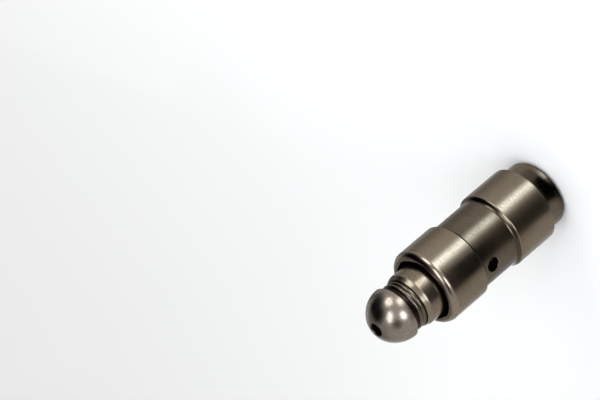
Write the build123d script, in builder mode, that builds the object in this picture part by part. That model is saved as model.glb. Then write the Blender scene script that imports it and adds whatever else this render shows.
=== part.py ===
"""Hydraulic tappet (lash adjuster) of the ball-headed kind that carries a finger follower.

Millimetres. It stands upright on its flat foot: +Z runs up the axis, and the
origin is the centre of the foot's underside. The radial oil hole faces -Y.
The housing is a ground steel cup. A hollow two-piece plunger slides in it on a
return spring, with a ball check valve between the plunger and the chamber.
"""

from build123d import *
from math import cos, pi, sin, sqrt
import os

# Housing: foot, rear land, oil groove, front land and nose, from the foot up
body_d = 12.0
housing_h = 24.98
foot_h = 3.55
rear_land_w = 7.05
front_land_w = 7.13
foot_d = 10.4
foot_corner_r = 1.1
foot_fillet_r = 0.3
oil_groove_depth = 0.5
oil_groove_cove_h = 0.85
land_edge = 0.15
nose_r = 1.0
nose_rim = 0.05
mouth_d = 9.7
mouth_bevel_h = 0.1
bore_d = 9.0
floor_t = 3.8
floor_corner_r = 0.5

# Oil hole through the housing wall, into the groove
oil_hole_d = 2.1
oil_hole_bevel = 0.1
oil_hole_below_land = 1.96

# Snap ring in the mouth of the housing
ring_wire_d = 0.8
ring_depth = 2.63
ring_gap_deg = 34.0
ring_seat_clearance = 0.02
ring_neck_clearance = 0.08
ring_stop_gap = 0.05

# Plunger: both pieces run in the housing bore
lower_fit = 0.02
upper_fit = 0.04
plunger_travel = 3.2
film_gap = 0.02
plunger_edge = 0.15
end_gap = 0.3

# Ball plunger (upper piece)
stem_d = 8.56
stem_out = 2.24
stem_corner_r = 1.0
stem_corner_turn = 28.0
ball_d = 8.4
ball_up = 5.62
ball_cut = 0.03
ball_cut_step = 0.08
tip_hole_d = 2.0
tip_flat_d = 2.4
tip_hole_bevel = 0.1
neck_d = 7.3
clip_groove_d = 7.0
clip_groove_below_ball = 1.11
bead_d = 7.65
bead_w = 0.66
shoulder_below_ball = 2.43
shoulder_top_d = 7.9
guide_land_w = 2.0
end_land_w = 0.6
feed_groove_depth = 0.43
feed_hole_d = 1.6
reservoir_d = 6.0
reservoir_below_ball = 5.05
head_bore_d = 3.4
head_bore_above_ball = 0.95
drill_angle = 59.0

# Lower plunger with the valve seat
lower_len = 4.2
seat_wall = 1.6
seat_hole_d = 1.8
seat_cone = 0.4

# Check valve: ball, cage and light spring
valve_ball_d = 2.8
valve_lift = 0.25
valve_seat_gap = 0.02
cage_clearance = 0.15
cage_t = 0.25
cage_flange_d = 8.3
cage_window_w = 0.9
cage_windows = 4
valve_spring_room = 0.32
valve_wire_d = 0.14
valve_coils = 2.75
valve_coil_d = 1.5

# Return spring
spring_wire_d = 0.6
spring_coil_d = 7.2
spring_coils = 4.5
spring_closed = 0.75

# Heights worked out from the sizes above
body_r = body_d / 2
bore_r = bore_d / 2
rear_land_top = foot_h + rear_land_w
front_land_base = housing_h - front_land_w
groove_r = body_r - oil_groove_depth
oil_hole_z = front_land_base - oil_hole_below_land
ring_z = housing_h - ring_depth
ring_r = ring_wire_d / 2
stem_r = stem_d / 2
ring_coil_r = stem_r + ring_neck_clearance + ring_r
ring_seat_r = ring_coil_r + ring_r + ring_seat_clearance
ring_seat_half = ring_r + ring_seat_clearance
shoulder_z = ring_z - ring_r - ring_stop_gap
lower_r = bore_r - lower_fit
upper_r = bore_r - upper_fit
ball_r = ball_d / 2
stem_top = housing_h + stem_out
ball_z = housing_h + ball_up
cove_top = rear_land_top + oil_groove_cove_h
neck_r = neck_d / 2
reservoir_top = ball_z - reservoir_below_ball
head_bore_top = ball_z + head_bore_above_ball
tip_z = ball_z + sqrt(ball_r**2 - (tip_flat_d / 2) ** 2)
valve_ball_r = valve_ball_d / 2
cage_in_r = valve_ball_r + cage_clearance
cage_out_r = cage_in_r + cage_t

# The ball rests on a 45 degree seat, so its centre follows from the cone
seat_mouth_r = seat_hole_d / 2 + seat_cone
seat_touch_r = valve_ball_r * cos(pi / 4)
ball_below_face = valve_ball_r * sin(pi / 4) - (seat_mouth_r - seat_touch_r) + valve_seat_gap
cage_depth = ball_below_face + valve_ball_r + valve_lift + valve_spring_room
lower_base = floor_t + plunger_travel + end_gap + cage_depth + cage_t
lower_top = lower_base + lower_len
upper_base = lower_top + film_gap
valve_ball_z = lower_base - ball_below_face
cage_floor_z = lower_base - cage_depth
feed_groove_base = upper_base + end_land_w
guide_land_base = shoulder_z - guide_land_w
feed_groove_r = upper_r - feed_groove_depth
feed_hole_z = (feed_groove_base + guide_land_base) / 2
drill_slope = cos(drill_angle * pi / 180) / sin(drill_angle * pi / 180)


def coil_path(coil_r, wire_d, low, high, coils, closed):
    """Centre line of a compression spring whose first and last turns lie closed."""
    steps_per_turn = 16
    count = round(coils * steps_per_turn)
    rise = high - low - 2 * closed * wire_d
    points = []
    for step in range(count + 1):
        turn = coils * step / count
        active = min(max(turn - closed, 0), coils - 2 * closed)
        ends = min(turn, closed) + max(turn - coils + closed, 0)
        z = low + ends * wire_d + rise * active / (coils - 2 * closed)
        angle = 2 * pi * turn
        points.append((coil_r * cos(angle), coil_r * sin(angle), z))
    return points


os.makedirs("parts", exist_ok=True)

# Housing: one turned profile, then the ring seat and the oil hole
with BuildPart() as housing:
    with BuildSketch(Plane.XZ):
        with BuildLine():
            foot_r = foot_d / 2
            Line((0, 0), (foot_r - foot_corner_r, 0))
            RadiusArc((foot_r - foot_corner_r, 0), (foot_r, foot_corner_r), -foot_corner_r)
            fillet_low = foot_h - foot_fillet_r
            Line((foot_r, foot_corner_r), (foot_r, fillet_low))
            RadiusArc((foot_r, fillet_low), (foot_r + foot_fillet_r, foot_h), foot_fillet_r)
            Polyline(
                (foot_r + foot_fillet_r, foot_h),
                (body_r - land_edge, foot_h),
                (body_r, foot_h + land_edge),
                (body_r, rear_land_top - land_edge),
                (body_r - land_edge, rear_land_top),
            )
            cove_w = oil_groove_depth - land_edge
            cove_r = (oil_groove_cove_h**2 + cove_w**2) / (2 * cove_w)
            RadiusArc((body_r - land_edge, rear_land_top), (groove_r, cove_top), cove_r)
            Polyline(
                (groove_r, cove_top),
                (groove_r, front_land_base - oil_groove_depth + land_edge),
                (body_r - land_edge, front_land_base),
                (body_r, front_land_base + land_edge),
                (body_r, housing_h - nose_r),
            )
            crest_r = body_r - nose_r
            RadiusArc((body_r, housing_h - nose_r), (crest_r, housing_h), -nose_r)
            mouth_r = mouth_d / 2
            seat_low = ring_z - ring_seat_half
            seat_high = ring_z + ring_seat_half
            Polyline(
                (crest_r, housing_h),
                (crest_r - nose_rim, housing_h),
                (mouth_r, housing_h - mouth_bevel_h),
                (mouth_r, seat_high),
                (ring_seat_r, seat_high),
                (ring_seat_r, seat_low),
                (bore_r, seat_low),
                (bore_r, floor_t + floor_corner_r),
            )
            corner_in = bore_r - floor_corner_r
            RadiusArc((bore_r, floor_t + floor_corner_r), (corner_in, floor_t), floor_corner_r)
            Polyline((corner_in, floor_t), (0, floor_t), (0, 0))
        make_face()
    revolve(axis=Axis.Z)
    with BuildSketch(Plane.XZ.offset(bore_r - oil_groove_depth)):
        with Locations((0, oil_hole_z)):
            Circle(oil_hole_d / 2)
    extrude(amount=body_r, mode=Mode.SUBTRACT)
    with BuildSketch(Plane.XZ.offset(groove_r - oil_hole_bevel)):
        with Locations((0, oil_hole_z)):
            Circle(oil_hole_d / 2)
    with BuildSketch(Plane.XZ.offset(groove_r + oil_hole_bevel)):
        with Locations((0, oil_hole_z)):
            Circle(oil_hole_d / 2 + 2 * oil_hole_bevel)
    loft(mode=Mode.SUBTRACT)
housing.part.label = "housing"
export_step(housing.part, "parts/housing.step")

# Snap ring: round spring wire, open at the back, in its seat under the mouth
with BuildPart() as retaining_ring:
    with BuildSketch(Plane.XZ):
        with Locations((ring_coil_r, ring_z)):
            Circle(ring_r)
    revolve(axis=Axis.Z, revolution_arc=360 - ring_gap_deg)
retaining_ring.part.label = "retaining_ring"
export_step(retaining_ring.part, "parts/retaining_ring.step")

# Ball plunger: hollow, with the ball head, the beaded clip neck and the stem
with BuildPart() as ball_plunger:
    with BuildSketch(Plane.XZ):
        with BuildLine():
            cut_z = ball_z - ball_cut
            cut_r = sqrt(ball_r**2 - ball_cut**2)
            neck_top = cut_z - ball_cut_step
            neck_in_r = cut_r - ball_cut_step
            corner_turn = stem_corner_turn * pi / 180
            corner_top_r = stem_r - stem_corner_r * (1 - cos(corner_turn))
            corner_top = stem_top + stem_corner_r * sin(corner_turn)
            shoulder_top = ball_z - shoulder_below_ball
            clip_groove_r = clip_groove_d / 2
            clip_groove_low = ball_z - clip_groove_below_ball
            tip_hole_r = tip_hole_d / 2
            tip_r = tip_flat_d / 2
            side_z = ball_z + ball_r * sin(pi / 4)
            side_r = ball_r * cos(pi / 4)
            reservoir_r = reservoir_d / 2
            head_bore_r = head_bore_d / 2
            Polyline(
                (reservoir_r, upper_base),
                (upper_r - plunger_edge, upper_base),
                (upper_r, upper_base + plunger_edge),
                (upper_r, feed_groove_base),
                (feed_groove_r, feed_groove_base + feed_groove_depth),
                (feed_groove_r, guide_land_base - feed_groove_depth),
                (upper_r, guide_land_base),
                (upper_r, shoulder_z - (upper_r - stem_r)),
                (stem_r, shoulder_z),
                (stem_r, stem_top),
            )
            RadiusArc((stem_r, stem_top), (corner_top_r, corner_top), -stem_corner_r)
            Polyline(
                (corner_top_r, corner_top),
                (shoulder_top_d / 2, shoulder_top),
                (neck_r, shoulder_top),
                (neck_r, clip_groove_low),
                (clip_groove_r, clip_groove_low),
                (clip_groove_r, neck_top),
                (neck_in_r, neck_top),
                (cut_r, cut_z),
            )
            ThreePointArc((cut_r, cut_z), (side_r, side_z), (tip_r, tip_z))
            Polyline(
                (tip_r, tip_z),
                (tip_hole_r + tip_hole_bevel, tip_z),
                (tip_hole_r, tip_z - tip_hole_bevel),
                (tip_hole_r, head_bore_top + (head_bore_r - tip_hole_r) * drill_slope),
                (head_bore_r, head_bore_top),
                (head_bore_r, reservoir_top + (reservoir_r - head_bore_r) * drill_slope),
                (reservoir_r, reservoir_top),
                (reservoir_r, upper_base),
            )
        make_face()
        bead_rise = (bead_d - neck_d) / 2
        bead_r = (bead_rise**2 + (bead_w / 2) ** 2) / (2 * bead_rise)
        for bead in range(2):
            with Locations((bead_d / 2 - bead_r, clip_groove_low - (bead + 0.5) * bead_w)):
                Circle(bead_r)
    revolve(axis=Axis.Z)
    with BuildSketch(Plane.XZ):
        with Locations((0, feed_hole_z)):
            Circle(feed_hole_d / 2)
    extrude(amount=-body_r, mode=Mode.SUBTRACT)
ball_plunger.part.label = "ball_plunger"
export_step(ball_plunger.part, "parts/ball_plunger.step")

# Lower plunger: a cup with a seat hole and its 45 degree cone in the floor
with BuildPart() as lower_plunger:
    with BuildSketch(Plane.XZ):
        with BuildLine():
            seat_hole_r = seat_hole_d / 2
            well_r = reservoir_d / 2
            Polyline(
                (seat_mouth_r, lower_base),
                (lower_r - plunger_edge, lower_base),
                (lower_r, lower_base + plunger_edge),
                (lower_r, lower_top - plunger_edge),
                (lower_r - plunger_edge, lower_top),
                (well_r, lower_top),
                (well_r, lower_base + seat_wall),
                (seat_hole_r, lower_base + seat_wall),
                (seat_hole_r, lower_base + seat_cone),
                (seat_mouth_r, lower_base),
            )
        make_face()
    revolve(axis=Axis.Z)
lower_plunger.part.label = "lower_plunger"
export_step(lower_plunger.part, "parts/lower_plunger.step")

# Check valve ball, just off its seat
with BuildPart() as check_ball:
    with BuildSketch(Plane.XZ):
        with BuildLine():
            ball_low = (0, valve_ball_z - valve_ball_r)
            ball_side = (valve_ball_r, valve_ball_z)
            ball_high = (0, valve_ball_z + valve_ball_r)
            ThreePointArc(ball_low, ball_side, ball_high)
            Line(ball_high, ball_low)
        make_face()
    revolve(axis=Axis.Z)
check_ball.part.label = "check_ball"
export_step(check_ball.part, "parts/check_ball.step")

# Cage: a pressed cap with a wide flange, open at windows round its wall
with BuildPart() as check_valve_cage:
    with BuildSketch(Plane.XZ):
        with BuildLine():
            cage_flange_r = cage_flange_d / 2
            cage_base = cage_floor_z - cage_t
            Polyline(
                (0, cage_base),
                (cage_out_r - cage_t, cage_base),
                (cage_out_r, cage_floor_z),
                (cage_out_r, lower_base - cage_t),
                (cage_flange_r, lower_base - cage_t),
                (cage_flange_r, lower_base),
                (cage_in_r, lower_base),
                (cage_in_r, cage_floor_z),
                (0, cage_floor_z),
                (0, cage_base),
            )
        make_face()
    revolve(axis=Axis.Z)
    window_low = cage_floor_z + cage_t
    window_h = lower_base - 2 * cage_t - window_low
    with BuildSketch(Plane.XY.offset(window_low)):
        with PolarLocations(cage_in_r + cage_t / 2, cage_windows):
            Rectangle(3 * cage_t, cage_window_w)
    extrude(amount=window_h, mode=Mode.SUBTRACT)
check_valve_cage.part.label = "check_valve_cage"
export_step(check_valve_cage.part, "parts/check_valve_cage.step")

# Light spring that holds the check ball up, standing on the cage floor
valve_coil_r = valve_coil_d / 2
valve_wire_r = valve_wire_d / 2
ball_over_coil = sqrt((valve_ball_r + valve_wire_r) ** 2 - valve_coil_r**2)
valve_spring_low = cage_floor_z + valve_wire_r
valve_spring_high = valve_ball_z - ball_over_coil - valve_seat_gap
with BuildPart() as check_ball_spring:
    with BuildLine() as valve_coil_line:
        Spline(*coil_path(valve_coil_r, valve_wire_d, valve_spring_low, valve_spring_high, valve_coils, 0.5))
    with BuildSketch(Plane(origin=(valve_coil_r, 0, valve_spring_low), x_dir=(1, 0, 0), z_dir=(0, 1, 0))):
        Circle(valve_wire_r)
    sweep(path=valve_coil_line.line, is_frenet=True)
check_ball_spring.part.label = "check_ball_spring"
export_step(check_ball_spring.part, "parts/check_ball_spring.step")

# Return spring between the chamber floor and the cage flange, its ends ground flat
spring_coil_r = spring_coil_d / 2
spring_wire_r = spring_wire_d / 2
spring_low = floor_t
spring_high = lower_base - cage_t
grind = spring_wire_r / 2
with BuildPart() as return_spring:
    with BuildLine() as spring_line:
        Spline(
            *coil_path(
                spring_coil_r,
                spring_wire_d,
                spring_low + grind,
                spring_high - grind,
                spring_coils,
                spring_closed,
            )
        )
    with BuildSketch(Plane(origin=(spring_coil_r, 0, spring_low + grind), x_dir=(1, 0, 0), z_dir=(0, 1, 0))):
        Circle(spring_wire_r)
    sweep(path=spring_line.line, is_frenet=True)
    split(bisect_by=Plane.XY.offset(spring_low), keep=Keep.TOP)
    split(bisect_by=Plane.XY.offset(spring_high), keep=Keep.BOTTOM)
return_spring.part.label = "return_spring"
export_step(return_spring.part, "parts/return_spring.step")

print("height", round(tip_z, 3), "lower base", round(lower_base, 3), "ball centre", round(ball_z, 3))
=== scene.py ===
from math import acos, asin, atan2, ceil, cos, degrees, hypot, pi, radians, sin, tan

import bmesh
import bpy
from mathutils import Matrix, Vector


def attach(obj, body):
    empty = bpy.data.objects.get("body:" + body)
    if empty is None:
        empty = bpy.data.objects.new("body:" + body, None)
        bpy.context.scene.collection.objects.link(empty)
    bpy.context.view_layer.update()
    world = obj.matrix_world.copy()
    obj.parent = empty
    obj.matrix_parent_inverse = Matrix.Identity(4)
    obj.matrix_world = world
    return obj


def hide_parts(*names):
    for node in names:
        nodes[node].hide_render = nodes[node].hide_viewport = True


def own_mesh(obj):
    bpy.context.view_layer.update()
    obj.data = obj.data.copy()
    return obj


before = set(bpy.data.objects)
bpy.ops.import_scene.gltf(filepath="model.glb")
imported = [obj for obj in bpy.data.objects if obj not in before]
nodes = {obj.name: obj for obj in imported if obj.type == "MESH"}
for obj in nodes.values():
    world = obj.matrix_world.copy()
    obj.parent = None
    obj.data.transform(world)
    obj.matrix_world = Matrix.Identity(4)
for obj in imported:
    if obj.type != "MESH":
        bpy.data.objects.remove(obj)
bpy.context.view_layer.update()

MM = 0.001
SPANS = 288  # steps round the axis of a turned piece
VIEW_AZIMUTH = 43.2  # the photograph's direction, degrees round from the oil hole
VIEW_ELEVATION = 29.0


# Colours and nodes


def colour(code):
    """Linear colour of an sRGB hex value."""
    parts = [int(code[i : i + 2], 16) / 255 for i in (1, 3, 5)]
    return [c / 12.92 if c <= 0.04045 else ((c + 0.055) / 1.055) ** 2.4 for c in parts] + [1.0]


def add(tree, kind, inputs=None, **settings):
    """Adds a node with its settings; an input takes a value, or (node, output name) as a link."""
    made = tree.nodes.new(kind)
    for name, value in settings.items():
        setattr(made, name, value)
    for name, value in (inputs or {}).items():
        if isinstance(value, tuple) and isinstance(value[0], bpy.types.Node):
            tree.links.new(value[0].outputs[value[1]], made.inputs[name])
        else:
            made.inputs[name].default_value = value
    return made


# Every steel: how far a tool line keeps its tone round the axis and the size of the cloudy tone,
# both in mm, the range of the tone, and what is left of the white at a grazing edge
LINE_LENGTH, PATCH = 4.0, 4.0
TONE_LOW, TONE_HIGH = 0.75, 1.25
EDGE_TINT = 0.75


def steel(name, light, dark, roughness, spread, line, line_depth, grain, grain_depth):
    """A machined steel. light and dark are its two tones, roughness its range and spread its
    anisotropy; line and grain are the sizes in mm of the tool lines round the axis and of the
    pits between them, each with its depth in mm."""
    material = bpy.data.materials.new(name)
    material.use_nodes = True
    tree = material.node_tree
    tree.nodes.clear()
    place = add(tree, "ShaderNodeTexCoord")
    mm = add(tree, "ShaderNodeMapping", {"Vector": (place, "Object"), "Scale": (1 / MM, 1 / MM, 1 / MM)})
    flat = 1 / LINE_LENGTH
    stretch = add(tree, "ShaderNodeMapping", {"Vector": (mm, "Vector"), "Scale": (flat, flat, 1 / line)})
    lines = add(tree, "ShaderNodeTexNoise", {"Vector": (stretch, "Vector"), "Scale": 1.0, "Detail": 3.0})
    pits = add(tree, "ShaderNodeTexNoise", {"Vector": (mm, "Vector"), "Scale": 1 / grain, "Detail": 2.0})
    cloud = add(tree, "ShaderNodeTexNoise", {"Vector": (mm, "Vector"), "Scale": 1 / PATCH, "Detail": 4.0})
    mixed = add(tree, "ShaderNodeMath", {0: (cloud, "Fac"), 1: (pits, "Fac")}, operation="ADD")
    span = {"Value": (mixed, "Value"), "From Min": TONE_LOW, "From Max": TONE_HIGH}
    shade = add(tree, "ShaderNodeMapRange", span)
    tone = add(
        tree,
        "ShaderNodeMix",
        {"Factor": (shade, "Result"), 6: colour(dark), 7: colour(light)},
        data_type="RGBA",
    )
    # The darker tone is the rougher one
    rough = add(tree, "ShaderNodeMapRange", {**span, "To Min": roughness[1], "To Max": roughness[0]})
    ridges = add(
        tree,
        "ShaderNodeBump",
        {"Height": (lines, "Fac"), "Strength": 1.0, "Distance": line_depth * MM},
    )
    relief = add(
        tree,
        "ShaderNodeBump",
        {
            "Height": (pits, "Fac"),
            "Normal": (ridges, "Normal"),
            "Strength": 1.0,
            "Distance": grain_depth * MM,
        },
    )
    around_axis = add(tree, "ShaderNodeTangent", direction_type="RADIAL", axis="Z")
    shader = add(
        tree,
        "ShaderNodeBsdfPrincipled",
        {
            "Base Color": (tone, 2),
            "Metallic": 1.0,
            "Roughness": (rough, "Result"),
            "Anisotropic": spread,
            "Specular Tint": [EDGE_TINT, EDGE_TINT, EDGE_TINT, 1.0],
            "Tangent": (around_axis, "Tangent"),
            "Normal": (relief, "Normal"),
        },
    )
    add(tree, "ShaderNodeOutputMaterial", {"Surface": (shader, "BSDF")})
    return material


# The steels. Their colours are the warm grey of oiled, hardened steel. Real grinding lines and pits
# are some hundredths of a millimetre apart, too fine to show, so they are drawn 0.09 to 0.3 mm wide.

# Centreless-ground steel: satin lands whose fine grinding lines run round them
ground = steel("centreless_ground_steel", "#7C7060", "#6F6253", (0.17, 0.24), 0.3, 0.09, 0.0004, 0.3, 0.0003)
# The same steel on the rounded nose, smoother than the lands and painted lighter, a painted highlight that
# brightens the arc of light on its rounding
nose_steel = steel("lightened_nose_steel", "#867B6D", "#786D5F", (0.13, 0.19), 0.2, 0.09, 0.0003, 0.3, 0.0003)
# Turned and then hardened steel, left as it came from the oil: dull, olive and pitted
turned = steel("turned_hardened_steel", "#655A4B", "#4E4439", (0.18, 0.27), 0.2, 0.14, 0.0016, 0.16, 0.0022)
# Hardened steel of the foot, worn smooth where it sits in its bore
foot_steel = steel("worn_foot_steel", "#6C6152", "#5C5245", (0.1, 0.16), 0.1, 0.14, 0.0006, 0.16, 0.0008)
# The same steel in the cove at the groove's lower end, coloured darker there and slightly smoother
stained = steel("dark_cove_steel", "#544B3E", "#40382E", (0.16, 0.22), 0.1, 0.14, 0.0006, 0.16, 0.001)
# Painted shade: the wall of the oil hole, the mouth's bevel and the undercut of the front land are coloured
# near black for the shade that lies in them
oily = steel("painted_shade_steel", "#241F1A", "#161310", (0.25, 0.35), 0.0, 0.12, 0.0008, 0.2, 0.0008)
# Polished steel of the ball: an even, soft mirror without lines
polished = steel("polished_ball_steel", "#8A8176", "#7C7369", (0.2, 0.27), 0.0, 0.12, 0.0001, 0.3, 0.0003)
# Fine-turned steel of the neck and shoulder, between the polish and the tool
fine_turned = steel("fine_turned_steel", "#82786A", "#6E6455", (0.18, 0.26), 0.2, 0.1, 0.0008, 0.2, 0.0006)
# The neck's two beads and the shoulder's cone: the same turned steel, coloured darker
oiled = steel("darker_neck_steel", "#685E51", "#50483D", (0.16, 0.24), 0.1, 0.1, 0.0008, 0.2, 0.0012)
# The spring clip's groove under the ball, coloured near black: painted shade under the ball's overhang
clip_steel = steel("shaded_clip_steel", "#2E261F", "#201A15", (0.2, 0.3), 0.2, 0.1, 0.0008, 0.2, 0.0012)
# Honed and drilled bores: dark, because oil and shade lie in them
honed = steel("honed_bore_steel", "#5A5248", "#4A433A", (0.28, 0.38), 0.3, 0.12, 0.0008, 0.2, 0.0008)
# Drawn wire of the springs and the snap ring: smooth and dark
wire = steel("drawn_spring_wire", "#6B655D", "#57514A", (0.25, 0.33), 0.0, 0.3, 0.0006, 0.15, 0.0006)
# Pressed sheet of the valve cage: pale and slightly dull
pressed = steel("pressed_sheet_steel", "#8A857C", "#77726A", (0.28, 0.36), 0.0, 0.2, 0.0006, 0.2, 0.001)
# Lapped check ball: a bright, close mirror
lapped = steel("lapped_ball_steel", "#A09C95", "#98948D", (0.06, 0.1), 0.0, 0.3, 0.00005, 0.3, 0.00005)


# Turned pieces


def piece(name, points, faces, materials):
    """An object in the scene with that mesh and those materials."""
    mesh = bpy.data.meshes.new(name)
    mesh.from_pydata(points, [], faces)
    for material in materials:
        mesh.materials.append(material)
    made = bpy.data.objects.new(name, mesh)
    bpy.context.scene.collection.objects.link(made)
    return made


FILLET_STEP = 9  # degrees that a rounded corner turns at each step, at most
HOLD = 0.05  # mm of flat face beside a rounded corner that keeps the flat's own shading


def rounded(corners):
    """Rows (radius, height, finish) of an outline, with every corner turned over its own radius.
    A corner is (radius, height, fillet, finish and cuts of the face after it), in mm."""
    rows = []
    count = len(corners)
    for i, (r, z, fillet, finish, cuts) in enumerate(corners):
        here = Vector((r, z))
        before, after = Vector(corners[i - 1][:2]), Vector(corners[(i + 1) % count][:2])
        face_before = corners[i - 1][3]
        if fillet:
            back, on = (before - here).normalized(), (after - here).normalized()
            half = back.angle(on) / 2
            reach = fillet / tan(half)
            centre = here + (back + on).normalized() * (fillet / sin(half))
            first, last = here + back * reach - centre, here + on * reach - centre
            turn = pi - 2 * half
            steps = max(3, ceil(degrees(turn) / FILLET_STEP))
            hold = min(HOLD, fillet / 2)
            rows.append((*(centre + first + back * hold), face_before))
            for step in range(steps + 1):
                a, b = sin(turn * (1 - step / steps)), sin(turn * step / steps)
                point = centre + (first * a + last * b) / sin(turn)
                rows.append((*point, finish if step * 2 >= steps else face_before))
            rows.append((*(centre + last + on * hold), finish))
        else:
            rows.append((r, z, finish))
        start = Vector(rows[-1][:2])
        for cut in range(1, cuts):
            rows.append((*(start + (after - start) * cut / cuts), finish))
    return rows


def around(angle, r, z):
    """A point at that angle round from the front, -Y, in metres."""
    return (r * sin(angle) * MM, -r * cos(angle) * MM, z * MM)


def turned_piece(name, rows, finishes, closed, hole):
    """An outline turned about Z, with one radial drilled hole. finishes names the steel of each
    finish in the rows; closed says that the outline's last row joins its first.

    hole has the step round the axis that its middle lies at (spoke) and how many steps the patch
    round it reaches to each side (half), its height, and the first and last row of the two walls
    that it passes through. rim and flare are its radius at each wall and how much of the wall's
    curve its edge follows, shares the rings from the patch's border to the rim, and tube the rings
    down its own wall, each (radius, distance from the axis). edge is the finish of its first
    edge_bands bands, finish that of the rest. All sizes are in mm."""
    points, faces, kinds = [], [], []
    index = []
    for r, z, finish in rows:
        if r < 1e-6:
            index.append([len(points)] * SPANS)
            points.append(around(0, 0, z))
        else:
            index.append([len(points) + s for s in range(SPANS)])
            points.extend(around(2 * pi * s / SPANS, r, z) for s in range(SPANS))
    span = len(rows) if closed else len(rows) - 1
    for i in range(span):
        j = (i + 1) % len(rows)
        for s in range(SPANS):
            t = (s + 1) % SPANS
            offset = (s - hole["spoke"] + SPANS // 2) % SPANS - SPANS // 2
            inside = -hole["half"] <= offset < hole["half"]
            if inside and any(low <= i < high for low, high in hole["walls"]):
                continue
            corner = [index[i][s], index[i][t], index[j][t], index[j][s]]
            face = [c for k, c in enumerate(corner) if c not in corner[:k]]
            faces.append(face)
            kinds.append(rows[i][2])
    drill(points, faces, kinds, rows, index, hole)
    made = piece(name, points, faces, finishes.values())
    mesh, names = made.data, list(finishes)
    for polygon, kind in zip(mesh.polygons, kinds):
        polygon.material_index = names.index(kind)
        polygon.use_smooth = True
    work = bmesh.new()
    work.from_mesh(mesh)
    bmesh.ops.recalc_face_normals(work, faces=work.faces)
    work.to_mesh(mesh)
    work.free()
    return made


def drill(points, faces, kinds, rows, index, hole):
    """Joins the two walls that a radial hole passes through by rings that go round its axis."""
    centre, height, angle = hole["spoke"], hole["height"], 2 * pi * hole["spoke"] / SPANS
    rings = []
    for wall, (low, high) in enumerate(hole["walls"]):
        a, b = centre - hole["half"], centre + hole["half"]
        low, high = (low, high) if rows[low][1] < rows[high][1] else (high, low)
        step = 1 if high > low else -1
        edge = [(low, s) for s in range(a, b)] + [(i, b) for i in range(low, high, step)]
        edge += [(high, s) for s in range(b, a, -1)] + [(i, a) for i in range(high, low, -step)]
        r = rows[low][0]
        outer = [index[i][s % SPANS] for i, s in edge]
        flat = [(r * 2 * pi * (s - centre) / SPANS, rows[i][1] - height) for i, s in edge]
        if wall == 0:
            turns = [atan2(v, u) for u, v in flat]
        rim = []
        for turn in turns:
            wide = hole["rim"][wall]
            # The flared rim and the wall's curve depend on each other, so this settles in a few rounds
            for _ in range(8):
                level = (r * r - (wide * cos(turn)) ** 2) ** 0.5
                wide = hole["rim"][wall] + (level - r) * hole["flare"][wall]
            rim.append((r * asin(wide * cos(turn) / r), wide * sin(turn)))
        loops = [outer]
        for share in hole["shares"]:
            loop = []
            for (u, v), (x, y) in zip(flat, rim):
                loop.append(len(points))
                points.append(around(angle + (x + (u - x) * share) / r, r, height + y + (v - y) * share))
            loops.append(loop)
        rings.append(loops)
    walls = rings[0] + tube(points, turns, angle, height, hole) + rings[1][::-1]
    kind = [rows[hole["walls"][0][0]][2]] * (len(rings[0]) - 1)
    kind += [hole["edge"]] * hole["edge_bands"]
    kind += [hole["finish"]] * (len(walls) - len(rings[0]) - len(rings[1]) + 1 - hole["edge_bands"])
    kind += [rows[hole["walls"][1][0]][2]] * (len(rings[1]) - 1)
    for ring, after, finish in zip(walls, walls[1:], kind):
        for k in range(len(ring)):
            m = (k + 1) % len(ring)
            faces.append([ring[k], ring[m], after[m], after[k]])
            kinds.append(finish)


def tube(points, turns, angle, height, hole):
    """Rings down the drilled wall, each (radius of the hole, distance from the part's axis) in mm."""
    loops = []
    for wide, out in hole["tube"]:
        loop = []
        for turn in turns:
            side = wide * cos(turn)
            loop.append(len(points))
            points.append(around(angle + atan2(side, out), hypot(side, out), height + wide * sin(turn)))
        loops.append(loop)
    return loops


def arc_rows(centre, r, start, end, steps, finish):
    """Sharp corners along an arc from one angle above the horizontal to another, ends left out."""
    made = []
    for step in range(1, steps):
        angle = start + (end - start) * step / steps
        made.append((centre[0] + r * cos(angle), centre[1] + r * sin(angle), 0, finish, 1))
    return made


# Housing, sizes in mm as in the part's source
LAND_R, GROOVE_R, FOOT_R, MOUTH_R, BORE_R = 6.0, 5.5, 5.2, 4.85, 4.5
HOUSING_H, FOOT_H, FLOOR_Z = 24.98, 3.55, 3.8
REAR_LAND_TOP, FRONT_LAND_BASE = 10.6, 17.85
FOOT_CORNER, FOOT_FILLET, FLOOR_CORNER = 1.1, 0.3, 0.5
LAND_EDGE = 0.15
NOSE_R, NOSE_RIM, MOUTH_BEVEL = 1.0, 0.05, 0.1
NOSE_LOW = 23.9  # the nose's lighter, smoother finish starts a little below the nose's rounding
SEAT_R, SEAT_LOW, SEAT_HIGH = 5.18, 21.93, 22.77
HOLE_Z = 15.89
PATCH_LOW, PATCH_HIGH = 14.3, 17.35  # the stretch of wall that is drawn round the oil hole
BROKEN = 0.03  # radius of a broken edge

# The cove at the groove's lower end, tangent to a slope of 45 degrees up from the rear land
COVE_R, COVE_TURN = 0.75, radians(45)
COVE_SPLIT = 0.15  # share of the cove's turn, at its top, that has the groove's own finish
REAR_LAND_ROUND = 0.3  # rounding at the top of the rear land, which catches the light
cove_out = COVE_R * (1 - cos(COVE_TURN))
cove_foot = (GROOVE_R + cove_out, REAR_LAND_TOP - LAND_EDGE + LAND_R - GROOVE_R - cove_out)
cove_centre = (GROOVE_R + COVE_R, cove_foot[1] + COVE_R * sin(COVE_TURN))
cove_split = pi + COVE_SPLIT * COVE_TURN

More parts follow.
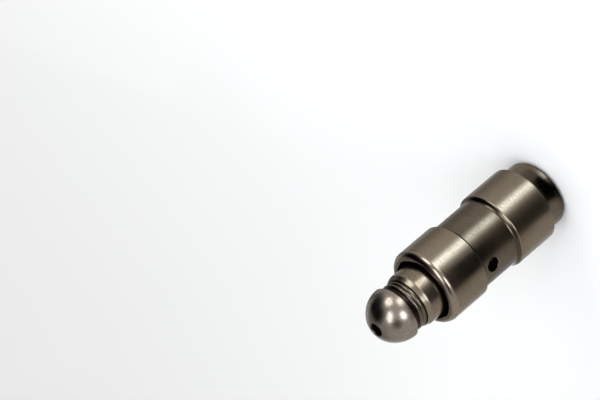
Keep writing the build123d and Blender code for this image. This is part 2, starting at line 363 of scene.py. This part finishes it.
corners = [
    (0, 0, 0, "foot", 1),
    (FOOT_R, 0, FOOT_CORNER, "foot", 1),
    (FOOT_R, FOOT_H, FOOT_FILLET, "foot", 1),
    (LAND_R - LAND_EDGE, FOOT_H, 0.04, "ground", 1),
    (LAND_R, FOOT_H + LAND_EDGE, 0.06, "ground", 4),
    (LAND_R, REAR_LAND_TOP - LAND_EDGE, REAR_LAND_ROUND, "ground", 1),
    (LAND_R - LAND_EDGE, REAR_LAND_TOP, 0, "stained", 2),
    (*cove_foot, 0, "stained", 1),
    *arc_rows(cove_centre, COVE_R, pi + COVE_TURN, cove_split, 8, "stained"),
    *arc_rows(cove_centre, COVE_R, cove_split, pi, 8, "turned"),
    (GROOVE_R, cove_centre[1], 0, "turned", 2),
    (GROOVE_R, PATCH_LOW, 0, "turned", 24),
    (GROOVE_R, PATCH_HIGH, 0, "turned", 1),
    # painted shade in the undercut under the front land
    (GROOVE_R, FRONT_LAND_BASE - (LAND_R - LAND_EDGE - GROOVE_R), 0.06, "oily", 1),
    (LAND_R - LAND_EDGE, FRONT_LAND_BASE, 0.04, "ground", 1),
    (LAND_R, FRONT_LAND_BASE + LAND_EDGE, 0.06, "ground", 4),
    (LAND_R, NOSE_LOW, 0, "nose", 1),
    (LAND_R, HOUSING_H, NOSE_R, "nose", 1),
    (LAND_R - NOSE_R - NOSE_RIM, HOUSING_H, 0.02, "nose", 1),
    # painted shade down the mouth
    (MOUTH_R, HOUSING_H - MOUTH_BEVEL, 0.04, "oily", 1),
    (MOUTH_R, SEAT_HIGH, BROKEN, "honed", 1),
    (SEAT_R, SEAT_HIGH, BROKEN, "honed", 1),
    (SEAT_R, SEAT_LOW, BROKEN, "honed", 1),
    (BORE_R, SEAT_LOW, BROKEN, "honed", 1),
    (BORE_R, PATCH_HIGH, 0, "honed", 24),
    (BORE_R, PATCH_LOW, 0, "honed", 2),
    (BORE_R, FLOOR_Z, FLOOR_CORNER, "honed", 1),
    (0, FLOOR_Z, 0, "honed", 1),
]
rows = rounded(corners)


def rows_between(rows, r, low, high):
    """First and last row of the face at that radius, whichever way it runs."""
    near = 1e-6
    found = [i for i, (at, z, _) in enumerate(rows) if abs(at - r) < near and low - near <= z <= high + near]
    return min(found), max(found)


oil_hole = {
    "spoke": 0,
    "half": 13,
    "height": HOLE_Z,
    "walls": [rows_between(rows, r, PATCH_LOW, PATCH_HIGH) for r in (GROOVE_R, BORE_R)],
    "rim": [1.15, 1.05],
    "flare": [1.0, 0.0],
    "shares": [0.75, 0.5, 0.28, 0.12, 0.04, 0.0],
    "tube": [(1.11, 5.46), (1.075, 5.425), (1.055, 5.4), (1.05, 5.36), (1.05, 4.8), (1.05, 4.52)],
    "edge": "ground",
    "edge_bands": 3,
    # painted shade: the hole's own wall is near black
    "finish": "oily",
}
housing = turned_piece(
    "housing_turned",
    rows,
    {
        "ground": ground,
        "nose": nose_steel,
        "turned": turned,
        "foot": foot_steel,
        "stained": stained,
        "honed": honed,
        "oily": oily,
    },
    False,
    oil_hole,
)
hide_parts("housing")
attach(housing, "body")

# Ball plunger, hollow from end to end: its lower part runs inside the housing
BALL_R, BALL_Z = 4.2, 30.6
BALL_CUT, CUT_STEP = 0.03, 0.08
TIP_FLAT_R, TIP_HOLE_R, TIP_BEVEL = 1.2, 1.0, 0.1
STEM_R, STEM_TOP, STEM_CORNER, STEM_TURN = 4.28, 27.22, 1.0, radians(28)
SHOULDER_TOP_R = 3.95
NECK_R, BEAD_CREST, BEAD_W = 3.65, 3.825, 0.66
CLIP_R, CLIP_LOW = 3.5, 29.49
GUIDE_R, GUIDE_LOW, GUIDE_TOP = 4.46, 19.9, 21.9
END_Z, END_LAND_TOP, PLUNGER_EDGE = 14.44, 15.04, 0.15
FEED_DEPTH = 0.43
FEED_LOW, FEED_HIGH = 16.4, 18.5  # the stretch of wall that is drawn round the feed hole
RESERVOIR_R, RESERVOIR_LAND, RESERVOIR_TOP = 3.0, 25.55, 26.33
HEAD_BORE_R, HEAD_BORE_TOP, HEAD_CONE_TOP = 1.7, 31.55, 31.97

corner_r = STEM_R - STEM_CORNER
shoulder = arc_rows((corner_r, STEM_TOP), STEM_CORNER, 0, STEM_TURN, 10, "fine")
corner_end = (corner_r + STEM_CORNER * cos(STEM_TURN), STEM_TOP + STEM_CORNER * sin(STEM_TURN))
shoulder.append((*corner_end, 0, "fine", 3))
shoulder.append((SHOULDER_TOP_R, CLIP_LOW - 2 * BEAD_W, BROKEN, "oiled", 1))

# Two beads, each an arc over its width; the upper one ends where the clip's groove cuts it
rise = BEAD_CREST - NECK_R
bead_r = (rise**2 + (BEAD_W / 2) ** 2) / (2 * rise)
bead_turn = asin(BEAD_W / 2 / bead_r)
clip_turn = acos((CLIP_R - BEAD_CREST + bead_r) / bead_r)
neck = []
for bead_z, turn in ((CLIP_LOW - 1.5 * BEAD_W, bead_turn), (CLIP_LOW - 0.5 * BEAD_W, clip_turn)):
    neck.append((NECK_R, bead_z - BEAD_W / 2, 0.02, "oiled", 1))
    neck += arc_rows((BEAD_CREST - bead_r, bead_z), bead_r, -bead_turn, turn, 12, "oiled")
neck.append((CLIP_R, CLIP_LOW - 0.5 * BEAD_W + bead_r * sin(clip_turn), 0.02, "clip", 1))

low_angle = asin(-BALL_CUT / BALL_R)
high_angle = acos(TIP_FLAT_R / BALL_R)
tip_z = BALL_Z + BALL_R * sin(high_angle)
cut_r = BALL_R * cos(low_angle)
corners = [
    (RESERVOIR_R, END_Z, 0.05, "honed", 1),
    (GUIDE_R - PLUNGER_EDGE, END_Z, BROKEN, "ground", 1),
    (GUIDE_R, END_Z + PLUNGER_EDGE, BROKEN, "ground", 1),
    (GUIDE_R, END_LAND_TOP, BROKEN, "honed", 1),
    (GUIDE_R - FEED_DEPTH, END_LAND_TOP + FEED_DEPTH, 0.05, "honed", 1),
    (GUIDE_R - FEED_DEPTH, FEED_LOW, 0, "honed", 12),
    (GUIDE_R - FEED_DEPTH, FEED_HIGH, 0, "honed", 1),
    (GUIDE_R - FEED_DEPTH, GUIDE_LOW - FEED_DEPTH, 0.05, "honed", 1),
    (GUIDE_R, GUIDE_LOW, BROKEN, "ground", 1),
    (GUIDE_R, GUIDE_TOP - (GUIDE_R - STEM_R), BROKEN, "ground", 1),
    (STEM_R, GUIDE_TOP, BROKEN, "ground", 4),
    (STEM_R, STEM_TOP, 0, "fine", 1),
    *shoulder,
    *neck,
    # painted shade in the clip's groove under the ball
    (CLIP_R, BALL_Z - BALL_CUT - CUT_STEP, BROKEN, "clip", 1),
    (cut_r - CUT_STEP, BALL_Z - BALL_CUT - CUT_STEP, 0.02, "clip", 1),
    (cut_r, BALL_Z - BALL_CUT, 0.02, "polished", 1),
    *arc_rows((0, BALL_Z), BALL_R, low_angle, high_angle, 44, "polished"),
    (TIP_FLAT_R, tip_z, BROKEN, "polished", 1),
    (TIP_HOLE_R + TIP_BEVEL, tip_z, 0.02, "honed", 1),
    (TIP_HOLE_R, tip_z - TIP_BEVEL, 0.02, "honed", 3),
    (TIP_HOLE_R, HEAD_CONE_TOP, 0.04, "honed", 1),
    (HEAD_BORE_R, HEAD_BORE_TOP, 0.04, "honed", 3),
    (HEAD_BORE_R, RESERVOIR_TOP, 0.04, "honed", 1),
    (RESERVOIR_R, RESERVOIR_LAND, 0.05, "honed", 3),
    (RESERVOIR_R, FEED_HIGH, 0, "honed", 12),
    (RESERVOIR_R, FEED_LOW, 0, "honed", 1),
]
rows = rounded(corners)
feed_hole = {
    "spoke": SPANS // 2,
    "half": 18,
    "height": 17.47,
    "walls": [rows_between(rows, r, FEED_LOW, FEED_HIGH) for r in (GUIDE_R - FEED_DEPTH, RESERVOIR_R)],
    "rim": [0.8, 0.8],
    "flare": [0.0, 0.0],
    "shares": [0.6, 0.3, 0.1, 0.0],
    "tube": [(0.8, 3.9), (0.8, 3.4), (0.8, 3.0)],
    "edge": "honed",
    "edge_bands": 0,
    "finish": "honed",
}
ball_plunger = turned_piece(
    "ball_plunger_turned",
    rows,
    {
        "ground": ground,
        "fine": fine_turned,
        "oiled": oiled,
        "clip": clip_steel,
        "polished": polished,
        "honed": honed,
    },
    True,
    feed_hole,
)
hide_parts("ball_plunger")
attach(ball_plunger, "ball_head")

# The two springs each stand on one body, below the joint named with them
for node, body, joint in (
    ("return_spring", "body", "plunger_slide"),
    ("check_ball_spring", "plunger", "check_ball_lift"),
):
    coil = bpy.data.objects.new(node + "_wound", nodes[node].data.copy())
    bpy.context.scene.collection.objects.link(coil)
    coil.data.materials.clear()
    coil.data.materials.append(wire)
    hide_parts(node)
    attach(coil, body)
    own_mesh(coil)

# The other pieces inside keep their own solids, and the springs' solids take the wire's finish too.
# Both loops give every slot of a solid one steel.
for node, finish in {
    "retaining_ring": wire,
    "lower_plunger": honed,
    "check_ball": lapped,
    "check_valve_cage": pressed,
    "check_ball_spring": wire,
    "return_spring": wire,
}.items():
    nodes[node].data.materials.clear()
    nodes[node].data.materials.append(finish)


# Stage: a pale floor, lamps, and cards that only the steel sees


WHITE = "#FFFFFF"
COOL = "#D8EEFF"  # daylight, cooler than the brown of the steel
MATT = 0.9  # roughness of a matt surface


def plain(name, code, strength=None):
    """A matt surface, or with a strength a plain glowing one."""
    material = bpy.data.materials.new(name)
    material.use_nodes = True
    tree = material.node_tree
    tree.nodes.clear()
    if strength is None:
        shader = add(tree, "ShaderNodeBsdfPrincipled", {"Base Color": colour(code), "Roughness": MATT})
        out = (shader, "BSDF")
    else:
        shader = add(tree, "ShaderNodeEmission", {"Color": colour(code), "Strength": strength})
        out = (shader, "Emission")
    add(tree, "ShaderNodeOutputMaterial", {"Surface": out})
    return material


def flat_piece(name, points, material):
    """A piece of the stage with one flat face."""
    made = piece(name, points, [list(range(len(points)))], [material])
    return made


def facing(azimuth, elevation):
    """Unit vector from the part that way, in degrees right of the camera and above the horizon."""
    a, e = radians(VIEW_AZIMUTH + azimuth), radians(elevation)
    return Vector((sin(a) * cos(e), -cos(a) * cos(e), sin(e)))


# The floor, pale and matt like paper, which takes the part's soft shadow
HALF_FLOOR = 2.5  # m
flat_piece(
    "floor",
    [(x * HALF_FLOOR, y * HALF_FLOOR, 0) for x, y in ((-1, -1), (1, -1), (1, 1), (-1, 1))],
    plain("pale_floor", "#FDFCFA"),
)

AIM = Vector((0, 0, 0.022))  # the point on the axis that lamps and dome stand round
LAMP_DISTANCE = 0.26  # m


def lamp(name, azimuth, elevation, wide, high, radiance, code, twist=0):
    """An oval soft box seen from the part at that width and height in degrees, with that radiance
    and turned by twist degrees about the line to the part."""
    data = bpy.data.lights.new(name, "AREA")
    data.shape = "ELLIPSE"
    data.size = 2 * LAMP_DISTANCE * tan(radians(wide / 2))
    data.size_y = 2 * LAMP_DISTANCE * tan(radians(high / 2))
    data.energy = radiance * pi * data.size * data.size_y * pi / 4
    data.color = colour(code)[:3]
    made = bpy.data.objects.new(name, data)
    back = facing(azimuth, elevation)
    turn = back.to_track_quat("Z", "Y").to_matrix().to_4x4() @ Matrix.Rotation(radians(twist), 4, "Z")
    made.matrix_world = Matrix.Translation(AIM + back * LAMP_DISTANCE) @ turn
    made.visible_camera = False
    bpy.context.scene.collection.objects.link(made)


def reflector(card):
    """Only mirror rays meet this card, so it shades nothing and hides nothing."""
    card.visible_camera = False
    card.visible_diffuse = False
    card.visible_shadow = False
    card.visible_transmission = False
    card.visible_volume_scatter = False


def graded_card(name, grid, levels, tint=COOL):
    """A card that glows from corner to corner of its grid, seen only in the steel. A level of 1 is
    the world's plain white, and what a level has beyond 1 takes the tint."""
    wide = len(grid[0])
    faces = []
    for i in range(len(grid) - 1):
        for j in range(wide - 1):
            k = i * wide + j
            faces.append([k, k + 1, k + wide + 1, k + wide])
    material = bpy.data.materials.new(name)
    material.use_nodes = True
    tree = material.node_tree
    tree.nodes.clear()
    share = add(tree, "ShaderNodeAttribute", attribute_name="glow")
    shine = add(tree, "ShaderNodeEmission", {"Color": (share, "Color"), "Strength": 1.0})
    add(tree, "ShaderNodeOutputMaterial", {"Surface": (shine, "Emission")})
    card = piece(name, [point for row in grid for point in row], faces, [material])
    glow = card.data.color_attributes.new("glow", "FLOAT_COLOR", "POINT")
    for entry, level in zip(glow.data, [level for row in levels for level in row]):
        entry.color = [min(level, 1) + max(level - 1, 0) * part for part in colour(tint)[:3]] + [1]
    reflector(card)


# Dark cards round the part, each (azimuth, elevation, half width and half height in degrees, how
# much of the white it takes away). They are drawn as one dome, so their soft edges run together.
FLAGS = [
    (103, 24, 50, 50, 1.0),
    (94, 57, 48, 40, 1.0),
    (-49, 43, 27, 24, 0.85),
    (178, 36, 52, 34, 0.6),
    (170, 74, 48, 34, 0.4),
]
CORE = 0.35  # share of a flag's size in which it takes all of that away
DOME_R = 0.28  # m
DOME_LOW, DOME_STEP = -4, 5  # degrees above the horizon where it starts, and between its corners


def fade(share):
    """0 in the core of a flag, 1 from its edge outwards."""
    edge = min(max((share - CORE) / (1 - CORE), 0.0), 1.0)
    return edge * edge * (3 - 2 * edge)


def sky_level(azimuth, elevation):
    """White left in that direction once every flag has taken its part."""
    way, level = facing(azimuth, elevation), 1.0
    for flag_azimuth, flag_elevation, wide, high, depth in FLAGS:
        core = facing(flag_azimuth, flag_elevation)
        side = core.cross(Vector((0, 0, 1))).normalized()
        ahead = way.dot(core)
        x = degrees(atan2(way.dot(side), ahead)) / wide
        y = degrees(atan2(way.dot(side.cross(core)), ahead)) / high
        level *= 1 - depth * (1 - fade(hypot(x, y)))
    return level


turns = range(0, 361, DOME_STEP)
rises = range(DOME_LOW, 90, DOME_STEP)
graded_card(
    "dark_dome",
    [[AIM + facing(turn, rise) * DOME_R for turn in turns] for rise in rises],
    [[sky_level(turn, rise) for turn in turns] for rise in rises],
)

# Soft boxes on the left, on the right and above, both as light and as highlights in the steel
lamp("left_box", -25, 9, 33, 24, 5.9, "#EAF3FF")
lamp("right_box", 52, 11, 25, 35, 4.8, "#F2F6F8", twist=40)
lamp("top_box", 5, 54.5, 43, 20, 5.8, "#EAF3FF", twist=-50)

# A low black card before the foot on its left, which darkens the foot's own strip there
LOW_CARD_R, LOW_CARD_H = 0.034, 0.008  # m
left, right = [facing(azimuth, 0) * LOW_CARD_R for azimuth in (-52, -6)]
low_card = flat_piece(
    "low_card",
    [(*left.xy, 0), (*right.xy, 0), (*right.xy, LOW_CARD_H), (*left.xy, LOW_CARD_H)],
    plain("black_card", "#0A0808", 1.0),
)
reflector(low_card)

# Graded card on the floor: dark to the left of the camera, rising to a bright band on its right.
# BAND holds (angle on the lands, level). A point of the lands at angle phi mirrors the floor along
# the direction 2 phi, further out the higher it lies, so each entry of REACH is a height on the
# lands, the shares of the dark and of the bright part that are left there, and the degrees by which
# the direction turns.
BAND = [
    (-62, 0.9), (-46, 0.9), (-36, 0.72), (-29, 0.2), (-25, 0.1), (-18, 0.07), (-12, 0.1),
    (-7, 0.18), (-1, 0.4), (3, 0.8), (7, 2.4), (10.5, 5.9), (14.5, 8.2), (18, 6.1), (21, 2.3),
    (24, 1.15), (30, 1.15), (38, 1.08), (45, 0.91), (53, 0.66), (62, 0.5), (76, 0.9),
]
REACH = [
    (3.1, 1, 1, 0), (10.6, 1, 1, 0), (11.5, 0.9, 1.35, 2.5), (17.4, 0.8, 1.45, 2.5), (18.2, 1, 1, 0),
    (28, 1, 1, 0), (33, 0.8, 0.5, 0), (45, 0.6, 0.8, -3), (75, 0.4, 0.9, -7), (130, 0.2, 0.8, -10),
    (200, 0, 0.3, -12),
]
NEAR = 6  # entries of REACH on the housing; the ball shows the rest, and there the band is white
DROP = tan(radians(VIEW_ELEVATION))  # mm that a ray from the camera falls per mm outwards
LIFT = 0.0001  # m, of a card above the floor, so that the floor doesn't cover it


def floor_point(angle, run, way, lift=LIFT):
    """A point near the floor: from the circle under the lands' edge, at that angle round it, it lies
    run mm out in the direction way, both in degrees right of the camera."""
    a, b = radians(VIEW_AZIMUTH + angle), radians(VIEW_AZIMUTH + way)
    return ((LAND_R * sin(a) + run * sin(b)) * MM, (-LAND_R * cos(a) - run * cos(b)) * MM, lift)


for name, reach, tint in (
    ("band_card", REACH[:NEAR], COOL),
    ("far_band_card", REACH[NEAR - 1 :], WHITE),
):
    levels = []
    for _, level in BAND:
        levels.append([1 + (level - 1) * (dark if level < 1 else bright) for _, dark, bright, _ in reach])
    grid = [[floor_point(phi, z / DROP, 2 * phi + turn) for z, _, _, turn in reach] for phi, _ in BAND]
    graded_card(name, grid, levels, tint)

# Far on the right the floor darkens again, which only the ball shows: (direction, level), and
# (run, share of that darkness) along it
FAR_SIDE = [(80, 1.0), (92, 0.5), (104, 0.15), (130, 0.15), (148, 0.4), (170, 1.0)]
FAR_RUN = [(95, 0.0), (115, 0.8), (150, 1.0), (220, 1.0), (300, 1.0)]
graded_card(
    "far_floor_card",
    [[floor_point(way, run, way, lift=2 * LIFT) for run, _ in FAR_RUN] for way, _ in FAR_SIDE],
    [[1 - (1 - level) * share for _, share in FAR_RUN] for _, level in FAR_SIDE],
)

# Behind the part, as (direction, level) and (run, share of it): a dark and a bright wedge that
# only a view from behind shows
BEHIND = [
    (128, 0.9), (138, 0.3), (146, 0.05), (166, 0.05), (177, 0.3), (186, 1.3), (194, 2.4), (202, 2.4),
    (210, 1.3), (222, 0.7), (232, 0.8),
]
BEHIND_RUN = [(4, 0.4), (48, 0.4), (62, 1.0), (200, 1.0), (300, 0.0)]
graded_card(
    "behind_card",
    [[floor_point(way, run, way) for run, _ in BEHIND_RUN] for way, _ in BEHIND],
    [[1 + (level - 1) * share for _, share in BEHIND_RUN] for _, level in BEHIND],
    WHITE,
)

# Close round the foot: what its rounded edge and its short wall show, as (angle right of the
# camera, level in the edge, level in the wall)
FOOT_LIGHT = [
    (-70, 0.8, 0.85), (-48, 0.6, 0.75), (-38, 0.3, 0.4), (-31, 0.1, 0.03), (-16, 0.0, 0.0),
    (-4, 0.1, 0.0), (6, 0.6, 0.0), (13, 3.0, 0.0), (21, 3.4, 0.03), (27, 2.0, 0.3), (34, 1.0, 0.45),
    (48, 0.8, 0.5), (66, 0.85, 1.0),
]
EDGE_RUN = [(-0.9, 0), (-0.5, 1), (0.9, 1)]  # (run, share of the level) that the edge shows
WALL_RUN = [1.6, 4.8]  # runs that the wall shows
runs = [run for run, _ in EDGE_RUN] + WALL_RUN
graded_card(
    "foot_card",
    [[floor_point(angle, run, angle) for run in runs] for angle, _, _ in FOOT_LIGHT],
    [[share * edge for _, share in EDGE_RUN] + [wall] * len(WALL_RUN) for _, edge, wall in FOOT_LIGHT],
)

# World: plain white to the eye and in the steel, dimmer as light
WORLD_LIGHT = 0.72  # its level as light, against 1 where it is seen
world = bpy.data.worlds.new("studio")
bpy.context.scene.world = world
world.use_nodes = True
tree = world.node_tree
tree.nodes.clear()
path = add(tree, "ShaderNodeLightPath")
rays = {0: (path, "Is Camera Ray"), 1: (path, "Is Glossy Ray")}
seen = add(tree, "ShaderNodeMath", rays, operation="MAXIMUM")
rays = {0: (seen, "Value"), 1: (path, "Is Transmission Ray")}
seen = add(tree, "ShaderNodeMath", rays, operation="MAXIMUM")
levels = {"Value": (seen, "Value"), "To Min": WORLD_LIGHT, "To Max": 1.0}
strength = add(tree, "ShaderNodeMapRange", levels)
shine = add(tree, "ShaderNodeBackground", {"Color": colour(WHITE), "Strength": (strength, "Result")})
add(tree, "ShaderNodeOutputWorld", {"Surface": (shine, "Background")})

# Camera: 620 mm from the axis at 15.84 mm up, rolled so that the foot points up to the right
DISTANCE, AIM_Z = 0.62, 0.01584  # m
LENS = 263.8
WIDTH, HEIGHT = 600, 400  # of the picture, in pixels
AIM_X, AIM_Y = 465.91, 253.09  # where that point of the axis lies in the picture
AXIS_SLOPE = 40.57  # degrees above the horizontal at which the axis runs to the foot
camera_data = bpy.data.cameras.new("camera")
camera_data.lens = LENS
camera_data.clip_start = 0.01
camera = bpy.data.objects.new("camera", camera_data)
bpy.context.scene.collection.objects.link(camera)
bpy.context.scene.camera = camera
back = facing(0, VIEW_ELEVATION)
focal = LENS / camera_data.sensor_width * WIDTH
seen_way = Vector((AIM_X - WIDTH / 2, HEIGHT / 2 - AIM_Y, -focal)).normalized()
real_way = -back


def across(way, hint):
    """The part of hint at right angles to way, as a unit vector."""
    return (hint - way * hint.dot(way)).normalized()


seen_foot = across(seen_way, Vector((cos(radians(AXIS_SLOPE)), sin(radians(AXIS_SLOPE)), 0)))
real_foot = across(real_way, Vector((0, 0, -1)))
seen_axes = Matrix((seen_way, seen_foot, seen_way.cross(seen_foot))).transposed()
real_axes = Matrix((real_way, real_foot, real_way.cross(real_foot))).transposed()
camera.matrix_world = Matrix.Translation(Vector((0, 0, AIM_Z)) + back * DISTANCE) @ (
    real_axes @ seen_axes.transposed()
).to_4x4()

bpy.context.scene.view_settings.view_transform = "Standard"
